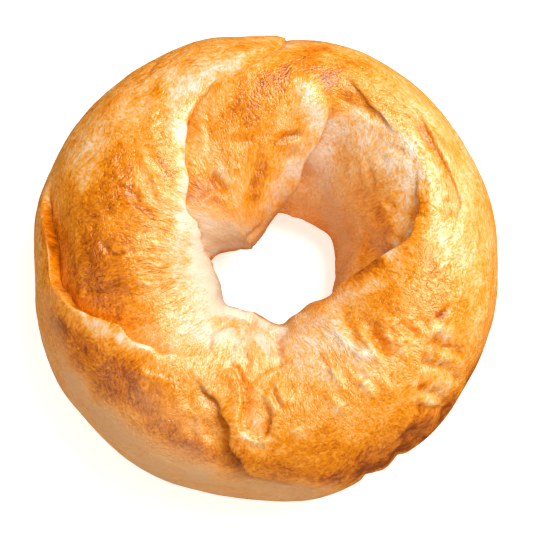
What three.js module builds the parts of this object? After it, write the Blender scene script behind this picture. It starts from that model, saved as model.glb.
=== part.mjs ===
import * as THREE from 'three';

// A bagel: one rope of dough wound into a ring, its tail lapped over the hole and its seam folded over itself.
//
// Millimetres, +Z up. Two angles name a place on the crust, both in degrees:
//   theta, round the ring, is 0 at +X and grows anticlockwise seen from above;
//   phi, round the dough's own section, is 0 at the outer edge, 90 on the crown, 180 at the hole, 270 beneath.

// ---- driving dimensions ----

// Outer radius of the ring, one value every 15 degrees of theta.
const OUTER_RADIUS = [
  56.6, 56.7, 57.2, 57.6, 58.0, 58.0, 56.7, 58.1, 57.6, 57.9, 56.8, 56.4,
  55.0, 55.9, 56.6, 56.3, 56.8, 56.2, 56.1, 57.6, 55.8, 57.1, 56.2, 57.0,
];

// Radius of the hole, one value every 15 degrees. The tail reaches into it from 75 to 160.
const HOLE_RADIUS = [
  16.7, 17.8, 18.1, 16.0, 14.7, 13.1, 8.6, 6.0, 5.0, 5.8, 7.7, 10.4,
  11.6, 11.2, 11.5, 12.8, 11.5, 11.0, 11.7, 14.4, 14.3, 14.3, 16.4, 16.0,
];

// Radius and height of the crown, every 30 degrees.
const CROWN_RADIUS = [38, 43, 43.5, 40, 36, 35, 35, 35, 35, 36, 37, 37];
const CROWN_HEIGHT = [37, 35, 34, 35, 34.5, 36.5, 37, 35.5, 34.5, 35, 36.5, 37.5];

// Height of the widest place on the outside and in the hole, every 30 degrees.
const OUTER_WAIST = [15, 15, 15, 15, 15, 15, 15, 15, 16, 16, 15, 15];
const HOLE_WAIST = [10, 8, 9, 14, 17, 16, 15, 15, 13, 12, 15, 14];

// Squareness of the section (2 is an ellipse): above the waist outside, above it in the hole, and below it.
const OUTER_SQUARENESS = 2.15;
const HOLE_SQUARENESS = [1.75, 1.45, 1.45, 1.9, 2.1, 2.2, 2.2, 2.1, 2.0, 2.0, 2.1, 2.1];
const BASE_SQUARENESS = 2.1;

// How far the round section would reach below the tray that has baked it flat.
const FLATTENED_DEPTH = 2.5;

// Grid of the crust: columns round the ring, and rows over the top and beneath.
const COLUMNS = 122;
const ROWS_ON_TOP = 38;
const ROWS_BENEATH = 11;
const TOP_PHI_START = -14;
const TOP_PHI_END = 206;

// Folds of the dough. A row of a path is [theta, phi, strength from 0 to 1].
// side is 1 where the upper lip lies to the left of the path, seen from outside, and -1 where it lies to the right.
// The lip rises by lip and fades over lipReach, and its edge is rounded off by roundDepth within roundWidth.
// The dough beneath it drops by drop and fades over dropReach.
const FOLDS = [
  {
    name: 'tail seam',
    path: [
      [80, -45, 0], [83, -10, 0.5], [85, 20, 0.5], [86, 52, 0.35], [93, 69, 0.15], [99, 76, 0.1],
      [106, 77, 0.1], [110, 81, 0.2], [114, 83, 0.35], [118, 88, 0.7], [121, 92, 1], [126, 97, 1],
      [132, 106, 1], [136, 111, 1], [147, 118, 0.95], [152, 126, 0.95], [157, 136, 0.9],
      [165, 146, 0.8], [172, 158, 0.7], [177, 185, 0.5], [178, 215, 0.3], [178, 235, 0],
    ],
    side: -1,
    lip: 0,
    lipReach: 10,
    roundWidth: 4.5,
    roundDepth: 3,
    drop: 3.4,
    dropReach: 9,
  },
  {
    name: 'rim of the tail',
    path: [
      [84, 30, 0], [85, 44, 0.6], [87, 56, 1], [90, 62, 1], [93, 69, 1], [96, 74, 1], [99, 76, 0.9],
      [103, 75, 0.7], [107, 77, 0.6], [109, 80, 0.4], [113, 83, 0.2], [117, 86, 0],
    ],
    side: 1,
    lip: 0.5,
    lipReach: 5,
    roundWidth: 1.5,
    roundDepth: 0.9,
    drop: 1.3,
    dropReach: 6,
  },
  {
    name: 'lap over the left arm',
    path: [
      [160, 24, 0], [165, 28, 0.6], [171, 34, 0.9], [176, 40, 1], [182, 43, 1], [188, 46, 1],
      [192, 53, 1], [197, 62, 1], [201, 71, 1], [207, 83, 1], [211, 85, 1], [215, 87, 0.95],
      [219, 90, 0.8], [224, 93, 0.5], [230, 100, 0.2], [240, 108, 0],
    ],
    side: -1,
    lip: 1.4,
    lipReach: 9,
    roundWidth: 2.2,
    roundDepth: 1.4,
    drop: 3.6,
    dropReach: 9,
  },
  {
    name: 'lip over the hollow',
    path: [
      [30, 98, 0], [24, 102, 0.2], [20, 103, 0.4], [16, 102, 0.5], [13, 103, 0.65], [10, 103, 0.8],
      [7, 103, 0.95], [4, 105, 1], [2, 109, 1], [0, 115, 1], [356, 122, 1], [350, 130, 1],
      [345, 136, 1], [341, 144, 1], [334, 152, 0.9], [316, 164, 0.5], [300, 168, 0],
    ],
    side: 1,
    lip: 1.5,
    lipReach: 9,
    roundWidth: 4,
    roundDepth: 2.5,
    drop: 7,
    dropReach: 14,
  },
  {
    name: 'flap on the lower right',
    path: [
      [352, 60, 0], [346, 62, 0.3], [340.5, 64, 0.4], [336.5, 67, 0.4], [333, 70, 0.35],
      [329.5, 72, 0.7], [326, 70.5, 1], [322.8, 67, 1], [320.5, 63.5, 1], [318.2, 60, 1],
      [315.8, 54.5, 1], [313.9, 51, 1], [311.8, 46.5, 1], [309.6, 41.5, 1], [307.2, 38, 0.95],
      [305, 36.5, 0.9], [302.8, 35.5, 0.9], [299.2, 34.5, 0.9], [296.2, 33, 0.9], [293.3, 30.8, 0.85],
      [290.6, 28.5, 0.8], [288, 25, 0.7], [285.5, 15, 0.5], [281, 2, 0],
    ],
    side: -1,
    lip: 0.6,
    lipReach: 8,
    roundWidth: 1,
    roundDepth: 0.5,
    drop: 1.7,
    dropReach: 9,
  },
  {
    name: 'fold at the front',
    path: [
      [244, 93.5, 0], [246, 92.2, 0.4], [248.3, 90.8, 0.6], [251.6, 88.9, 0.7], [253.7, 85.5, 0.5],
      [255.3, 82, 0.6], [257.3, 79, 0.9], [259.1, 75, 1], [260, 69.5, 1], [260.6, 63, 1],
      [262.3, 57.5, 1], [263.9, 53, 0.95], [265.2, 46.5, 0.7], [266.6, 41.5, 0.45], [268.4, 39, 0.35],
      [271, 37, 0.35], [276.2, 34.5, 0.3], [281.5, 31.5, 0.25], [285, 31.5, 0.1], [288, 32, 0],
    ],
    side: 1,
    lip: 1,
    lipReach: 8,
    roundWidth: 2.5,
    roundDepth: 1.2,
    drop: 3.6,
    dropReach: 6,
  },
  {
    name: 'edge of the tail',
    path: [
      [74, 90, 0], [69, 98, 0.2], [66, 106, 0.4], [65, 115, 0.7], [66, 127, 1], [68, 138, 1],
      [68, 148, 1], [74, 160, 1], [84, 183, 0.8], [95, 205, 0.3], [100, 220, 0],
    ],
    side: -1,
    lip: 1,
    lipReach: 8,
    roundWidth: 3,
    roundDepth: 1.6,
    drop: 5,
    dropReach: 9,
  },
];

// Broad swellings and dents: from [theta, phi] to [theta, phi], half width, and height (below zero for a dent).
const SWELLINGS = [
  { name: 'lobe left of the notch', from: [241, 128], to: [252, 124], halfWidth: 3.2, height: 1.3 },
  { name: 'lobe at the notch', from: [260, 127], to: [270, 121], halfWidth: 3, height: 1.3 },
  { name: 'lobe right of the notch', from: [288, 133], to: [300, 128], halfWidth: 4, height: 1.2 },
  { name: 'notch at the hole', from: [282, 152], to: [279, 126], halfWidth: 2, height: -2 },
  { name: 'hollow of the loop', from: [267, 95], to: [267, 76], halfWidth: 2.2, height: -1.7 },
  { name: 'crown of the tail', from: [76, 95], to: [74, 98], halfWidth: 3, height: 1 },
  { name: 'furrow of the tail', from: [99, 105], to: [108, 131], halfWidth: 2.2, height: -1.1 },
  { name: 'tip of the tail', from: [112, 128], to: [118, 134], halfWidth: 2.8, height: 0.8 },
  { name: 'dent by the front fold', from: [243, 70], to: [248, 62], halfWidth: 3.4, height: -0.9 },
  { name: 'dent in the outer crease', from: [38, 71], to: [30, 72], halfWidth: 2.4, height: -1 },
];

// Half width of the step at a fold's edge, and what each millimetre of drop adds to it.
const EDGE_HALF_WIDTH = 1.4;
const EDGE_WIDTH_PER_DROP = 0.32;

// How finely a path is sampled, how far a fold acts at full strength, and how fast it fades past that.
const PATH_STEPS = 10;
const FOLD_RANGE = 14;
const FOLD_FADE = 5;

// ---- the plain ring ----

// Smooth value at theta of keys spaced evenly round the ring.
function roundTheRing(keys, theta) {
  const place = (((theta % 360) + 360) % 360) / 360 * keys.length;
  const index = Math.floor(place);
  const f = place - index;
  const [a, b, c, d] = [-1, 0, 1, 2].map((k) => keys[(index + k + keys.length) % keys.length]);
  return catmullRom(a, b, c, d, f);
}

function catmullRom(a, b, c, d, f) {
  const linear = c - a;
  const square = 2 * a - 5 * b + 4 * c - d;
  const cube = 3 * b - a - 3 * c + d;
  return b + 0.5 * f * (linear + f * (square + f * cube));
}

// Point of the ring before it is folded and flattened: a superellipse in each quarter of the section.
function ringPoint(theta, phi) {
  const angle = THREE.MathUtils.degToRad(phi);
  const cos = Math.cos(angle);
  const sin = Math.sin(angle);
  const outside = cos >= 0;
  const above = sin >= 0;
  const upper = outside ? OUTER_SQUARENESS : roundTheRing(HOLE_SQUARENESS, theta);
  const squareness = above ? upper : BASE_SQUARENESS;
  const across = Math.abs(cos) ** (2 / squareness);
  const along = Math.abs(sin) ** (2 / squareness);
  const crown = roundTheRing(CROWN_RADIUS, theta);
  const edge = roundTheRing(outside ? OUTER_RADIUS : HOLE_RADIUS, theta);
  const waist = roundTheRing(outside ? OUTER_WAIST : HOLE_WAIST, theta);
  const end = above ? roundTheRing(CROWN_HEIGHT, theta) : -FLATTENED_DEPTH;
  const radius = crown + (edge - crown) * across;
  const height = waist + (end - waist) * along;
  const turn = THREE.MathUtils.degToRad(theta);
  return new THREE.Vector3(radius * Math.cos(turn), radius * Math.sin(turn), height);
}

// Outward normal of the ring.
function ringNormal(theta, phi) {
  const step = 0.25;
  const round = ringPoint(theta + step, phi).sub(ringPoint(theta - step, phi));
  const over = ringPoint(theta, phi + step).sub(ringPoint(theta, phi - step));
  return round.cross(over).normalize();
}

// ---- folds ----

// Rows of a path with theta carried on past 360 instead of jumping back.
function unwrapped(path) {
  let turn = 0;
  return path.map(([theta, phi, strength], i) => {
    if (i > 0 && theta - path[i - 1][0] > 180) turn -= 360;
    if (i > 0 && theta - path[i - 1][0] < -180) turn += 360;
    return [theta + turn, phi, strength];
  });
}

// Samples of a fold's path: point, outward normal, direction along, direction towards the lip, strength.
function samplePath(fold) {
  const rows = unwrapped(fold.path);
  const last = rows.length - 1;
  const mirrored = (a, b) => a.map((value, i) => 2 * value - b[i]);
  const padded = [mirrored(rows[0], rows[1]), ...rows, mirrored(rows[last], rows[last - 1])];
  const samples = [];
  for (let i = 0; i < last; i += 1) {
    const [a, b, c, d] = padded.slice(i, i + 4);
    const steps = i === last - 1 ? PATH_STEPS + 1 : PATH_STEPS;
    for (let j = 0; j < steps; j += 1) {
      const [theta, phi, strength] = b.map((_, k) => catmullRom(a[k], b[k], c[k], d[k], j / PATH_STEPS));
      samples.push({ point: ringPoint(theta, phi), normal: ringNormal(theta, phi), strength });
    }
  }
  samples.forEach((sample, i) => {
    const before = samples[Math.max(i - 1, 0)].point;
    const after = samples[Math.min(i + 1, samples.length - 1)].point;
    sample.along = after.clone().sub(before).normalize();
    sample.toLip = sample.normal.clone().cross(sample.along).multiplyScalar(fold.side);
  });
  return samples;
}

// Where a point lies to a path: signed distance (above zero on the lip's side) and the path's strength there.
// The samples near the nearest one share in the answer, so that it stays smooth inside a bend.
function placeByPath(point, samples) {
  const distances = samples.map((sample) => point.distanceTo(sample.point));
  const nearest = Math.min(...distances);
  const spread = 0.6 + 0.3 * nearest;
  const sum = { toLip: 0, outward: 0, along: 0, strength: 0, weight: 0 };
  samples.forEach((sample, i) => {
    const weight = Math.exp(-(((distances[i] - nearest) / spread) ** 2));
    const offset = point.clone().sub(sample.point);
    sum.toLip += weight * offset.dot(sample.toLip);
    sum.outward += weight * offset.dot(sample.normal);
    sum.along += weight * offset.dot(sample.along);
    sum.strength += weight * sample.strength;
    sum.weight += weight;
  });
  const toLip = sum.toLip / sum.weight;
  const outward = sum.outward / sum.weight;
  const along = sum.along / sum.weight;
  const pastTheEnd = Math.exp(-((along / (2 + 0.4 * nearest)) ** 2));
  const outOfRange = Math.exp(-((Math.max(nearest - FOLD_RANGE, 0) / FOLD_FADE) ** 2));
  return {
    distance: Math.sign(toLip) * Math.hypot(toLip, outward),
    strength: sum.strength / sum.weight * pastTheEnd * outOfRange,
  };
}

// How far a rounded edge has dropped at a distance from the middle of its round.
function roundedEdge(distance, width, depth) {
  const left = 1 - THREE.MathUtils.clamp(distance / width, 0, 1);
  return depth * (1 - Math.sqrt(1 - left * left));
}

// How far a fold moves the crust along its normal, at a signed distance from the fold's edge.
function foldHeight(fold, distance) {
  const toLip = Math.max(distance, 0);
  const beneath = Math.max(-distance, 0);
  const risen = fold.lip * Math.exp(-((toLip / fold.lipReach) ** 1.3));
  const lip = risen - roundedEdge(toLip, fold.roundWidth, fold.roundDepth);
  const dropped = -fold.drop * Math.exp(-((beneath / fold.dropReach) ** 1.3));
  const halfWidth = EDGE_HALF_WIDTH + EDGE_WIDTH_PER_DROP * fold.drop;
  const share = THREE.MathUtils.smoothstep(distance, -halfWidth, halfWidth);
  return THREE.MathUtils.lerp(dropped, lip, share);
}

// ---- swellings ----

// Line over the crust between two places, as short straight pieces.
function crustLine([thetaFrom, phiFrom], [thetaTo, phiTo]) {
  const pieces = Math.max(1, Math.ceil(Math.abs(phiTo - phiFrom) / 6 + Math.abs(thetaTo - thetaFrom) / 4));
  const points = [];
  for (let i = 0; i <= pieces; i += 1) {
    const theta = THREE.MathUtils.lerp(thetaFrom, thetaTo, i / pieces);
    points.push(ringPoint(theta, THREE.MathUtils.lerp(phiFrom, phiTo, i / pieces)));
  }
  return points;
}

function distanceToLine(point, line) {
  const piece = new THREE.Line3();
  const nearest = new THREE.Vector3();
  let distance = Infinity;
  for (let i = 0; i + 1 < line.length; i += 1) {
    piece.set(line[i], line[i + 1]).closestPointToPoint(point, true, nearest);
    distance = Math.min(distance, nearest.distanceTo(point));
  }
  return distance;
}

// ---- the crust ----

const foldPaths = FOLDS.map(samplePath);
const swellingLines = SWELLINGS.map((swelling) => crustLine(swelling.from, swelling.to));

function crustPoint(theta, phi) {
  const point = ringPoint(theta, phi);
  let height = 0;
  FOLDS.forEach((fold, i) => {
    const place = placeByPath(point, foldPaths[i]);
    height += foldHeight(fold, place.distance) * place.strength;
  });
  SWELLINGS.forEach((swelling, i) => {
    const distance = distanceToLine(point, swellingLines[i]);
    height += swelling.height * Math.exp(-((distance / swelling.halfWidth) ** 2));
  });
  point.addScaledVector(ringNormal(theta, phi), height);
  point.z = Math.max(point.z, 0);
  return point;
}

// Angles of the rows round the section, closer together over the top than beneath.
function rowAngles() {
  const angles = [];
  for (let i = 0; i < ROWS_ON_TOP; i += 1) {
    angles.push(THREE.MathUtils.lerp(TOP_PHI_START, TOP_PHI_END, i / ROWS_ON_TOP));
  }
  for (let i = 0; i < ROWS_BENEATH; i += 1) {
    angles.push(THREE.MathUtils.lerp(TOP_PHI_END, TOP_PHI_START + 360, i / ROWS_BENEATH));
  }
  return angles;
}

// Closed surface over the grid, standing on z = 0 with the middle of its box on the origin.
function crustGeometry() {
  const angles = rowAngles();
  const rows = angles.length;
  const positions = [];
  const faces = [];
  for (let column = 0; column < COLUMNS; column += 1) {
    const nextColumn = (column + 1) % COLUMNS;
    angles.forEach((phi, row) => {
      const nextRow = (row + 1) % rows;
      const a = column * rows + row;
      const b = nextColumn * rows + row;
      const c = nextColumn * rows + nextRow;
      const d = column * rows + nextRow;
      positions.push(...crustPoint(column / COLUMNS * 360, phi).toArray());
      faces.push(a, b, c, a, c, d);
    });
  }
  const geometry = new THREE.BufferGeometry();
  geometry.setAttribute('position', new THREE.Float32BufferAttribute(positions, 3));
  geometry.setIndex(faces);
  geometry.computeBoundingBox();
  const middle = geometry.boundingBox.getCenter(new THREE.Vector3());
  geometry.translate(-middle.x, -middle.y, 0);
  geometry.computeVertexNormals();
  return geometry;
}

const crustMaterial = new THREE.MeshStandardMaterial({ color: 0xd99a55, roughness: 0.45, metalness: 0 });

const bagel = new THREE.Mesh(crustGeometry(), crustMaterial);
bagel.name = 'bagel';

const group = new THREE.Group();
group.add(bagel);

export default group;
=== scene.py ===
import math

import bpy
import numpy as np
from bpy.props import FloatProperty, FloatVectorProperty, IntProperty, PointerProperty
from bpy.types import Operator, Panel, PropertyGroup
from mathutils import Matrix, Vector


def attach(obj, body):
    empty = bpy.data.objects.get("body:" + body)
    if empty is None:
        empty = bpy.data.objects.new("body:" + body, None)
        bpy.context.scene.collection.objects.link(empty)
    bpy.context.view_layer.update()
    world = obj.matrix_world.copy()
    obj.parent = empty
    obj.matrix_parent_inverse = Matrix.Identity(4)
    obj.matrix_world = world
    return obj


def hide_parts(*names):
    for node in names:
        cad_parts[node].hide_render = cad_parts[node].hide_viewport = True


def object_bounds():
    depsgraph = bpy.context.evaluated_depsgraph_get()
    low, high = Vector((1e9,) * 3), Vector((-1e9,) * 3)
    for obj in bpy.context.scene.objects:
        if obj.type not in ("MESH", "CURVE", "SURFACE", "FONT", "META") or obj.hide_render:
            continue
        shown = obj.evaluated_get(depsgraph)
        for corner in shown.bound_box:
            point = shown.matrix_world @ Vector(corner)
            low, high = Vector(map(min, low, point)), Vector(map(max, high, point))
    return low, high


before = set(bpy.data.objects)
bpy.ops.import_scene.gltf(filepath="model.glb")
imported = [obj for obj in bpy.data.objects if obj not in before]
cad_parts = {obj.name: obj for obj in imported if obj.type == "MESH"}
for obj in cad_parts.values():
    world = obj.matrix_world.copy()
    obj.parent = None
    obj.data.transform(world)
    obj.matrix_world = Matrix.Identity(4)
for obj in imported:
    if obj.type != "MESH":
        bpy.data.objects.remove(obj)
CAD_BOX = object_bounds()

bl_info = {
    "name": "Bagel",
    "version": (1, 0, 0),
    "blender": (4, 5, 0),
    "location": "View3D > Sidebar > Bagel",
    "description": "Models a hand-wound baked bagel and the stage that it is shown on",
    "category": "Object",
}

# The dough is worked out in millimetres and degrees, and made metres when it becomes a mesh.
# theta runs round the ring from +X, anticlockwise from above.
# phi runs round the dough's own section: 0 at the outer edge, 90 on the crown, 180 at the hole and 270
# beneath.
MM = 0.001
FULL_TURN = 360.0

# Radii and heights of the plain ring, spaced evenly over theta. A waist is the height at which the side
# reaches furthest, and the squareness of a quarter of the section is 2 where it is an ellipse.
OUTER_RADIUS = (
    56.6, 56.7, 57.2, 57.6, 58.0, 58.0, 56.7, 58.1, 57.6, 57.9, 56.8, 56.4,
    55.0, 55.9, 56.6, 56.3, 56.8, 56.2, 56.1, 57.6, 55.8, 57.1, 56.2, 57.0,
)
HOLE_RADIUS = (
    16.7, 17.8, 18.1, 16.0, 14.7, 13.1, 8.6, 6.0, 5.0, 5.8, 7.7, 10.4,
    11.6, 11.2, 11.5, 12.8, 11.5, 11.0, 11.7, 14.4, 14.3, 14.3, 16.4, 16.0,
)
CROWN_RADIUS = (38, 43, 43.5, 40, 36, 35, 35, 35, 35, 36, 37, 37)
CROWN_HEIGHT = (37, 35, 34, 35, 34.5, 36.5, 37, 35.5, 34.5, 35, 36.5, 37.5)
OUTER_WAIST = (15, 15, 15, 15, 15, 15, 15, 15, 16, 16, 15, 15)
HOLE_WAIST = (10, 8, 9, 14, 17, 16, 15, 15, 13, 12, 15, 14)
OUTER_SQUARENESS = 2.15
HOLE_SQUARENESS = (1.75, 1.45, 1.45, 1.9, 2.1, 2.2, 2.2, 2.1, 2.0, 2.0, 2.1, 2.1)
BASE_SQUARENESS = 2.1
# How far the round of the section would reach below the flat underside.
FLATTENED_DEPTH = 2.5

# Mean ways round the ring and round the section, to turn a wrinkle's size into a count.
RING_LENGTH = 250.0
SECTION_LENGTH = 116.0

# Folds of the dough. Rows of a path are (theta, phi, strength). side is 1 where the upper lip lies to
# the left of the path, seen from outside, and -1 where it lies to the right. lift is how far the lip
# stands up and how far that reaches, rounding is how wide and deep its edge is rounded, and drop is how
# far the dough beneath it goes down and how far that reaches. valley, where it is given, rounds the dough
# beneath in the same way. edge is half the width of the step between the two, and tuck is how far the lip
# leans out over the dough beneath, and over what width.
FOLDS = {
    "tail seam": {
        "path": (
            (80, -45, 0), (83, -10, 0.5), (85, 20, 0.5), (86, 52, 0.35), (93, 69, 0.15), (99, 76, 0.1),
            (106, 77, 0.1), (110, 81, 0.2), (114, 83, 0.35), (118, 88, 0.7), (121, 92, 1), (126, 97, 1),
            (132, 106, 1), (136, 111, 1), (147, 118, 0.95), (152, 126, 0.95), (157, 136, 0.9),
            (165, 146, 0.8), (172, 158, 0.7), (177, 185, 0.5), (178, 215, 0.3), (178, 235, 0),
        ),
        "side": -1, "lift": (0, 10), "rounding": (4.5, 3.0), "drop": (2.6, 11), "valley": (3.0, 2.2),
        "edge": 0.9, "tuck": (1.2, 1.8),
    },
    "rim of the tail": {
        "path": (
            (84, 30, 0), (85, 44, 0.6), (87, 56, 1), (90, 62, 1), (93, 69, 1), (96, 74, 1),
            (99, 76, 0.9), (103, 75, 0.7), (107, 77, 0.6), (109, 80, 0.4), (113, 83, 0.2), (117, 86, 0),
        ),
        "side": 1, "lift": (0.5, 5), "rounding": (1.5, 0.9), "drop": (1.3, 6),
        "edge": 0.5, "tuck": (1.0, 1.2),
    },
    "lap over the left arm": {
        "path": (
            (160, 24, 0), (165, 28, 0.6), (171, 34, 0.9), (176, 40, 1), (182, 43, 1), (188, 46, 1),
            (192, 53, 1), (197, 62, 1), (201, 71, 1), (207, 83, 1), (211, 85, 1), (215, 87, 0.95),
            (219, 90, 0.8), (224, 93, 0.5), (230, 100, 0.2), (240, 108, 0),
        ),
        "side": -1, "lift": (1.2, 8), "rounding": (2.0, 1.3), "drop": (3.2, 9),
        "edge": 0.7, "tuck": (1.8, 1.8),
    },
    "lip over the hollow": {
        "path": (
            (30, 98, 0), (24, 102, 0.2), (20, 103, 0.4), (16, 102, 0.5), (13, 103, 0.65),
            (10, 103, 0.8), (7, 103, 0.95), (4, 105, 1), (2, 109, 1), (0, 115, 1), (356, 122, 1),
            (350, 130, 1), (345, 136, 1), (341, 144, 1), (334, 152, 0.9), (316, 164, 0.5),
            (300, 168, 0),
        ),
        "side": 1, "lift": (1.5, 9), "rounding": (3.0, 2.0), "drop": (6.5, 13),
        "edge": 0.8, "tuck": (1.8, 2.2),
    },
    "flap on the lower right": {
        "path": (
            (352, 60, 0), (346, 62, 0.3), (340.5, 64, 0.4), (336.5, 67, 0.4), (333, 70, 0.35),
            (329.5, 72, 0.7), (326, 70.5, 1), (322.8, 67, 1), (320.5, 63.5, 1), (318.2, 60, 1),
            (315.8, 54.5, 1), (313.9, 51, 1), (311.8, 46.5, 1), (309.6, 41.5, 1), (307.2, 38, 0.95),
            (305, 36.5, 0.9), (302.8, 35.5, 0.9), (299.2, 34.5, 0.9), (296.2, 33, 0.9),
            (293.3, 30.8, 0.85), (290.6, 28.5, 0.8), (288, 25, 0.7), (285.5, 15, 0.5), (281, 2, 0),
        ),
        "side": -1, "lift": (0.6, 8), "rounding": (1.0, 0.5), "drop": (2.0, 9),
        "edge": 0.5, "tuck": (1.5, 1.2),
    },
    "fold at the front": {
        "path": (
            (244, 93.5, 0), (246, 92.2, 0.4), (248.3, 90.8, 0.6), (251.6, 88.9, 0.7),
            (253.7, 85.5, 0.5), (255.3, 82, 0.6), (257.3, 79, 0.9), (259.1, 75, 1), (260, 69.5, 1),
            (260.6, 63, 1), (262.3, 57.5, 1), (263.9, 53, 0.95), (265.2, 46.5, 0.7),
            (266.6, 41.5, 0.45), (268.4, 39, 0.35), (271, 37, 0.35), (276.2, 34.5, 0.3),
            (281.5, 31.5, 0.25), (285, 31.5, 0.1), (288, 32, 0),
        ),
        "side": 1, "lift": (1.0, 7), "rounding": (1.6, 1.0), "drop": (3.2, 4.5),
        "edge": 0.5, "tuck": (1.6, 1.4),
    },
    "loop in front of the hole": {
        "path": (
            (251, 106, 0), (254.5, 105, 0.4), (257.5, 103, 0.7), (259.3, 100.5, 0.8), (260.8, 97, 0.8),
            (262, 92.5, 0.9), (262.3, 87.5, 1), (262.3, 82.5, 1), (262.8, 78, 1), (263.9, 74.5, 1),
            (265.6, 71.2, 1), (267.6, 69.8, 1), (269.4, 70.3, 1), (270.9, 72.6, 1), (271.8, 76.6, 0.9),
            (272.4, 82, 0.7), (272.2, 87, 0.5), (271.2, 91, 0.4), (269.6, 95, 0.2), (268.4, 98.5, 0),
        ),
        "side": -1, "lift": (0.9, 2.4), "rounding": (0.9, 0.5), "drop": (1.7, 4),
        "edge": 0.5, "tuck": (0.5, 0.8),
    },
    "edge of the tail": {
        "path": (
            (74, 90, 0), (69, 98, 0.2), (66, 106, 0.4), (65, 115, 0.7), (66, 127, 1), (68, 138, 1),
            (68, 148, 1), (74, 160, 1), (84, 183, 0.8), (95, 205, 0.3), (100, 220, 0),
        ),
        "side": -1, "lift": (1.0, 8), "rounding": (3.0, 1.6), "drop": (5.0, 9),
        "edge": 0.8, "tuck": (1.4, 1.8),
    },
    "seam low on the left": {
        "path": (
            (191, 30, 0), (195, 31, 0.6), (198, 31, 1), (201, 33, 1), (204, 32, 1), (208, 28, 1),
            (212, 24, 0.7), (218, 18, 0),
        ),
        "side": 1, "lift": (0.4, 4), "rounding": (0.8, 0.4), "drop": (1.3, 5),
        "edge": 0.5, "tuck": (1.0, 1.0),
    },
    "outer crease": {
        "path": (
            (45, 62, 0), (41, 65, 0.5), (38, 68, 0.9), (34, 69, 1), (30, 69, 1), (27, 69, 0.9),
            (23, 70, 0.6), (20, 67, 0.7), (15, 66, 0.7), (12, 68, 0.6), (8, 72, 0.3), (5, 77, 0),
        ),
        "side": 1, "lift": (0.3, 4), "rounding": (1.0, 0.6), "drop": (0.9, 4.5),
        "edge": 0.5, "tuck": (0.8, 1.0),
    },
    "cut at the upper right": {
        "path": (
            (68, 72, 0), (64, 76, 0.4), (61, 81, 0.7), (58, 85, 0.8), (55, 88, 0.9), (51, 91, 1),
            (48, 94, 1), (45, 97, 0),
        ),
        "side": 1, "lift": (0.4, 4), "rounding": (0.8, 0.5), "drop": (1.0, 5),
        "edge": 0.5, "tuck": (1.0, 1.0),
    },
    "pale fold under the lip": {
        "path": (
            (15, 110, 0), (10, 118, 0.6), (6, 122, 0.9), (1, 125, 0.9), (355, 130, 0.6), (350, 135, 0),
        ),
        "side": 1, "lift": (0.9, 5), "rounding": (1.2, 0.6), "drop": (0.8, 5),
        "edge": 0.6, "tuck": (0.6, 1.0),
    },
}
# Points further from a path than the reach are left alone. A fold is whole within its range, and fades
# beyond it.
FOLD_REACH = 26.0
FOLD_RANGE = 14.0
FOLD_FADE = 5.0
# How steeply a lip and the dough beneath it level out, and how far the shade under a lip reaches.
FOLD_SLOPE = 1.3
SHADE_WIDTH = 2.2
# Width over which samples of a path share in a point's place: at the path, and more for each millimetre
# away. Past the ends of a path its strength fades over a width given in the same way.
SAMPLE_WIDTH = (0.6, 0.3)
END_WIDTH = (2, 0.4)
SAMPLES_PER_STRETCH = 10
# Longest step of theta and of phi along a line laid over the ring.
LINE_STEP = (4, 6)
FAR_AWAY = 1e3

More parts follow.
